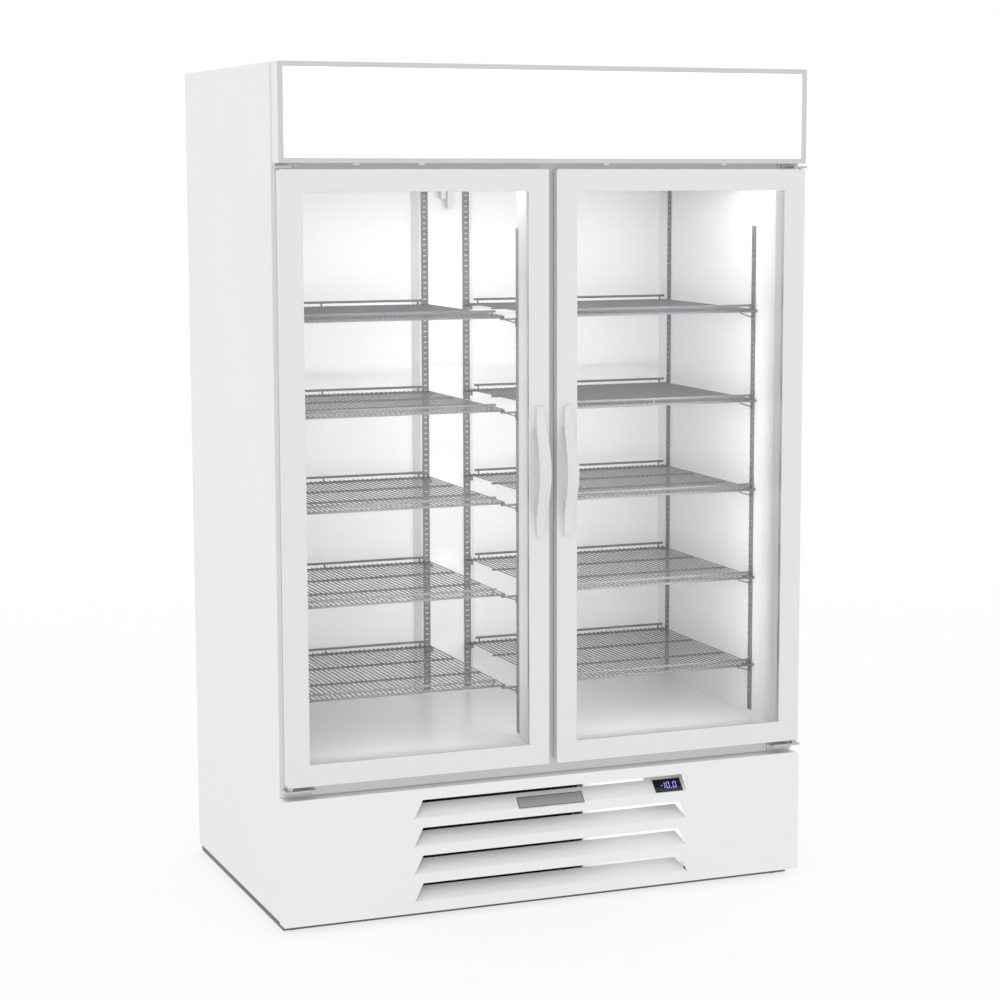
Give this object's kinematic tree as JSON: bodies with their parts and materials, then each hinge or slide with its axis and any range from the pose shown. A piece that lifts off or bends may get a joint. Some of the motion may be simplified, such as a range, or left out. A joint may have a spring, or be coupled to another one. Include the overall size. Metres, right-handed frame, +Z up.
{
  "type": "glass door merchandiser",
  "caption": "Upright white glass-door display cooler with a lit blank header sign, wire shelves, bowed pull handles and a louvred lower grille with a temperature display.",
  "frame": {"origin": "centre of the overall bounding box on the floor plane, under the levelling feet", "axes": "+Z up, the doors face -Y, +X is towards the right-hand door as seen by a customer facing the doors"},
  "size_m": [1.33, 0.8576, 1.9985],
  "materials": {
    "white_paint": "gloss",
    "white_liner": "satin",
    "white_trim": "satin",
    "door_white": "gloss",
    "grey_trim": "satin",
    "gasket": "matte",
    "clear_glass": "polished",
    "spacer": "satin",
    "sign_face": "satin",
    "lamp": "satin",
    "base_steel": "satin",
    "foam": "matte",
    "hinge_steel": "satin",
    "bushing": "matte",
    "grey_wire": "satin",
    "grey_pilaster": "satin",
    "fin_stock": "satin",
    "black_fin": "matte",
    "galvanised": "satin",
    "motor": "satin",
    "fan_plastic": "satin",
    "compressor_black": "satin",
    "copper": "satin",
    "black_rubber": "matte",
    "pan_plastic": "matte",
    "display_black": "gloss",
    "badge_metal": "satin",
    "foot_black": "satin"
  },
  "bodies": {
    "cabinet": {"side_panel_left": "white_paint", "side_panel_right": "white_paint", "back_panel": "white_paint", "top_panel": "white_paint", "header_housing": "white_paint", "grille_panel": "white_paint", "electrical_box": "white_paint", "inner_liner": "white_liner", "rear_duct": "white_liner", "evaporator_housing": "white_liner", "sign_frame": "white_trim", "air_sensor": "white_trim", "breaker_frame": "grey_trim", "center_mullion": "grey_trim", "sign_panel": "sign_face", "sign_lamps": "lamp", "interior_lamp": "lamp", "base_frame": "base_steel", "insulation": "foam", "hinge_brackets": "hinge_steel", "hinge_screws": "hinge_steel", "shelves_left_bay": "grey_wire", "shelves_right_bay": "grey_wire", "shelf_pilasters": "grey_pilaster", "shelf_clips": "grey_pilaster", "evaporator_coil": "fin_stock", "condenser_coil": "black_fin", "condenser_shroud": "galvanised", "evaporator_fan_guards": "galvanised", "evaporator_fan_motors": "motor", "condenser_fan_motor": "motor", "compressor": "compressor_black", "refrigerant_lines": "copper", "filter_drier": "copper", "compressor_mounts": "black_rubber", "power_cord": "black_rubber", "condensate_pan": "pan_plastic", "drain_tube": "pan_plastic", "display_module": "display_black", "badge_plate": "badge_metal"},
    "left_door": {"door_frame_left": "door_white", "door_glass_left": "clear_glass", "glass_spacer_left": "spacer", "door_gasket_left": "gasket", "door_handle_left": "white_trim", "hinge_bushings_left": "bushing"},
    "right_door": {"door_frame_right": "door_white", "door_glass_right": "clear_glass", "glass_spacer_right": "spacer", "door_gasket_right": "gasket", "door_handle_right": "white_trim", "hinge_bushings_right": "bushing"},
    "condenser_fan": {"condenser_fan": "fan_plastic"},
    "evaporator_fan_left": {"evaporator_fan_left": "fan_plastic"},
    "evaporator_fan_right": {"evaporator_fan_right": "fan_plastic"},
    "foot_front_left": {"foot_front_left": "foot_black"},
    "foot_front_right": {"foot_front_right": "foot_black"},
    "foot_back_left": {"foot_back_left": "foot_black"},
    "foot_back_right": {"foot_back_right": "foot_black"}
  },
  "joints": [
    {"name": "left_door_hinge", "type": "hinge", "parent": "cabinet", "child": "left_door", "pos_m": [-0.647, -0.38025, 1.05], "axis": [0, 0, -1], "range_deg": [0, 110]},
    {"name": "right_door_hinge", "type": "hinge", "parent": "cabinet", "child": "right_door", "pos_m": [0.647, -0.38025, 1.05], "axis": [0, 0, 1], "range_deg": [0, 110]},
    {"name": "condenser_fan_spin", "type": "hinge", "parent": "cabinet", "child": "condenser_fan", "pos_m": [-0.125, -0.18525, 0.172], "axis": [0, 1, 0], "continuous": true},
    {"name": "evaporator_fan_left_spin", "type": "hinge", "parent": "cabinet", "child": "evaporator_fan_left", "pos_m": [-0.25, -0.10025, 1.77], "axis": [0, 0, 1], "continuous": true},
    {"name": "evaporator_fan_right_spin", "type": "hinge", "parent": "cabinet", "child": "evaporator_fan_right", "pos_m": [0.25, -0.10025, 1.77], "axis": [0, 0, 1], "continuous": true},
    {"name": "foot_front_left_height", "type": "slide", "parent": "cabinet", "child": "foot_front_left", "axis": [0, 0, -1], "range_m": [0, 0.02]},
    {"name": "foot_front_right_height", "type": "slide", "parent": "cabinet", "child": "foot_front_right", "axis": [0, 0, -1], "range_m": [0, 0.02]},
    {"name": "foot_back_left_height", "type": "slide", "parent": "cabinet", "child": "foot_back_left", "axis": [0, 0, -1], "range_m": [0, 0.02]},
    {"name": "foot_back_right_height", "type": "slide", "parent": "cabinet", "child": "foot_back_right", "axis": [0, 0, -1], "range_m": [0, 0.02]}
  ]
}
